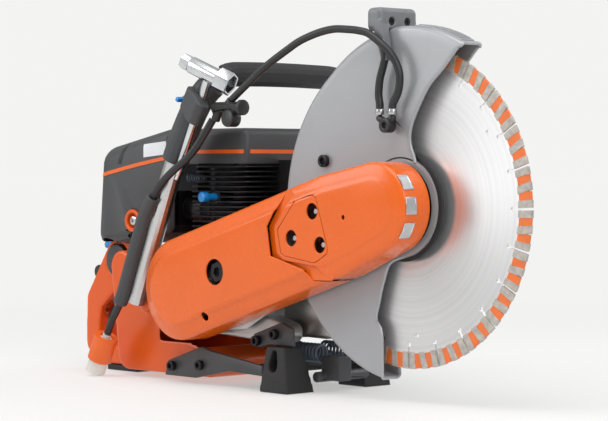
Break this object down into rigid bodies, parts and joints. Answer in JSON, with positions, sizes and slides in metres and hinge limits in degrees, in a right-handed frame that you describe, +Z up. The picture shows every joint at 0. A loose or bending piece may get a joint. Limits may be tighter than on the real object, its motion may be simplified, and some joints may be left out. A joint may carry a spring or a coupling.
{
  "type": "concrete cut-off saw",
  "caption": "Hand-held petrol cut-off saw with a segmented diamond blade, tilting grey guard, belt arm, wrap-around tube handle, orange rear handle and water kit.",
  "frame": {"origin": "Centre of the bounding box, at the floor the feet stand on", "axes": "+X towards the blade, +Y towards the operator's left, +Z up; the machine stands on its feet as pictured"},
  "size_m": [0.766, 0.2673, 0.4289],
  "materials": {
    "steel_plate": "satin rolled steel",
    "segment": "sintered metal with diamond grit, orange paint in its recesses",
    "steel": "turned steel",
    "black_steel": "blackened steel",
    "cast_alloy": "die-cast magnesium or aluminium, bare",
    "black_alloy": "cast aluminium, painted black",
    "bare_alloy": "bent tube, brushed",
    "zinc": "bright zinc plate",
    "muffler_steel": "satin stainless sheet",
    "spring_steel": "blue-grey coated wire",
    "guard_grey": "light grey paint, fine texture",
    "orange_plastic": "moulded orange, fine texture",
    "dark_plastic": "moulded dark grey, fine texture",
    "black_plastic": "moulded black",
    "white_plastic": "moulded off-white",
    "blue_plastic": "moulded blue",
    "ceramic": "white insulator",
    "rubber": "belt rubber",
    "grip_rubber": "soft black rubber",
    "hose_rubber": "ribbed black hose",
    "filter_paper": "pleated paper"
  },
  "bodies": {
    "saw": {"bearings": "steel", "cutting_arm": "cast_alloy", "drive_belt": "rubber", "belt_cover_front": "orange_plastic", "belt_cover_rear": "orange_plastic", "cover_nuts": "black_steel", "clutch": "steel", "crankshaft": "steel", "connecting_rod": "steel", "piston": "cast_alloy", "cylinder": "black_alloy", "spark_plug": "ceramic", "crankcase_right": "cast_alloy", "crankcase_left": "cast_alloy", "flywheel": "cast_alloy", "starter_cover": "dark_plastic", "muffler": "muffler_steel", "carburettor": "cast_alloy", "air_filter": "filter_paper", "filter_cover": "dark_plastic", "cylinder_cover": "dark_plastic", "rear_handle": "orange_plastic", "mount_cap": "dark_plastic", "front_handle": "bare_alloy", "handle_grip": "grip_rubber", "tool_holder": "dark_plastic", "water_valve": "black_plastic", "water_hose": "hose_rubber", "inlet_hose": "hose_rubber", "hose_channel": "dark_plastic", "hose_coupling": "white_plastic", "av_springs": "spring_steel", "skid_frame": "dark_plastic", "frame_bolts": "black_steel", "feet": "grip_rubber"},
    "blade": {"blade_disc": "steel_plate", "diamond_segments": "segment", "inner_flange": "black_steel", "outer_flange": "steel", "spindle": "steel", "arbor_bolt": "steel", "driven_pulley": "steel"},
    "drum": {"clutch_drum": "steel"},
    "guard": {"guard_shell": "guard_grey", "guard_casting": "guard_grey", "guard_grip": "guard_grey", "guard_screws": "black_steel", "nozzle_fittings": "black_plastic", "hose_clamps": "steel", "bridge_hose": "hose_rubber"},
    "trigger": {"throttle_trigger": "black_plastic"},
    "lock": {"throttle_lock": "black_plastic"},
    "switch": {"stop_switch": "blue_plastic"},
    "tap": {"water_tap": "blue_plastic"},
    "cap": {"fuel_cap": "black_plastic"},
    "decompression": {"decompression_valve": "blue_plastic"},
    "starter": {"starter_grip": "black_plastic"},
    "reel": {"starter_reel": "black_plastic"},
    "wrench": {"combination_wrench": "zinc"},
    "collar": {"coupling_collar": "orange_plastic"}
  },
  "joints": [
    {"name": "blade_spin", "type": "hinge", "parent": "saw", "child": "blade", "pos_m": [0.20798, -0.0665, 0.213], "axis": [0, 1, 0], "continuous": true},
    {"name": "drum_spin", "type": "hinge", "parent": "saw", "child": "drum", "pos_m": [-0.11699, -0.0665, 0.11303], "axis": [0, 1, 0], "continuous": true},
    {"name": "guard_tilt", "type": "hinge", "parent": "saw", "child": "guard", "pos_m": [0.20798, -0.0665, 0.213], "axis": [0, 1, 0], "range_deg": [-5, 40], "deforming": ["water_hose"]},
    {"name": "trigger_squeeze", "type": "hinge", "parent": "saw", "child": "trigger", "pos_m": [-0.31899, -0.0365, 0.10303], "axis": [0, 1, 0], "range_deg": [-9, 0], "stiffness_Nm_per_rad": 0.4, "springref_deg": 5.73},
    {"name": "lock_press", "type": "hinge", "parent": "saw", "child": "lock", "pos_m": [-0.35199, -0.0365, 0.12703], "axis": [0, 1, 0], "range_deg": [-12, 0], "stiffness_Nm_per_rad": 0.4, "springref_deg": 5.73},
    {"name": "switch_rock", "type": "hinge", "parent": "saw", "child": "switch", "pos_m": [-0.33899, -0.0365, 0.15403], "axis": [0, 1, 0], "range_deg": [0, 18]},
    {"name": "tap_turn", "type": "hinge", "parent": "saw", "child": "tap", "pos_m": [-0.10399, -0.1065, 0.323], "axis": [-0.809, 0, 0.5878], "range_deg": [0, 90]},
    {"name": "cap_unscrew", "type": "hinge", "parent": "saw", "child": "cap", "pos_m": [-0.25099, 0.0385, 0.06903], "axis": [0, 1, 0], "range_deg": [-720, 0]},
    {"name": "decompression_press", "type": "slide", "parent": "saw", "child": "decompression", "axis": [0, 1, 0], "range_m": [0, 0.004], "stiffness_N_per_m": 300, "springref_m": -0.002},
    {"name": "reel_turn", "type": "hinge", "parent": "saw", "child": "reel", "pos_m": [-0.11699, -0.0665, 0.11303], "axis": [0, 1, 0], "range_deg": [-191, 0]},
    {"name": "starter_pull", "type": "slide", "parent": "saw", "child": "starter", "axis": [-1, 0, 0], "range_m": [0, 0.08], "stiffness_N_per_m": 60, "springref_m": -0.02},
    {"name": "wrench_lift", "type": "slide", "parent": "saw", "child": "wrench", "axis": [0.4384, 0, 0.8988], "range_m": [0, 0.13]},
    {"name": "collar_press", "type": "slide", "parent": "saw", "child": "collar", "axis": [0.454, 0, 0.891], "range_m": [0, 0.004], "stiffness_N_per_m": 400, "springref_m": -0.002}
  ],
  "couplings": [
    {"joint": "drum_spin", "follows": "blade_spin", "ratio": 2}
  ]
}
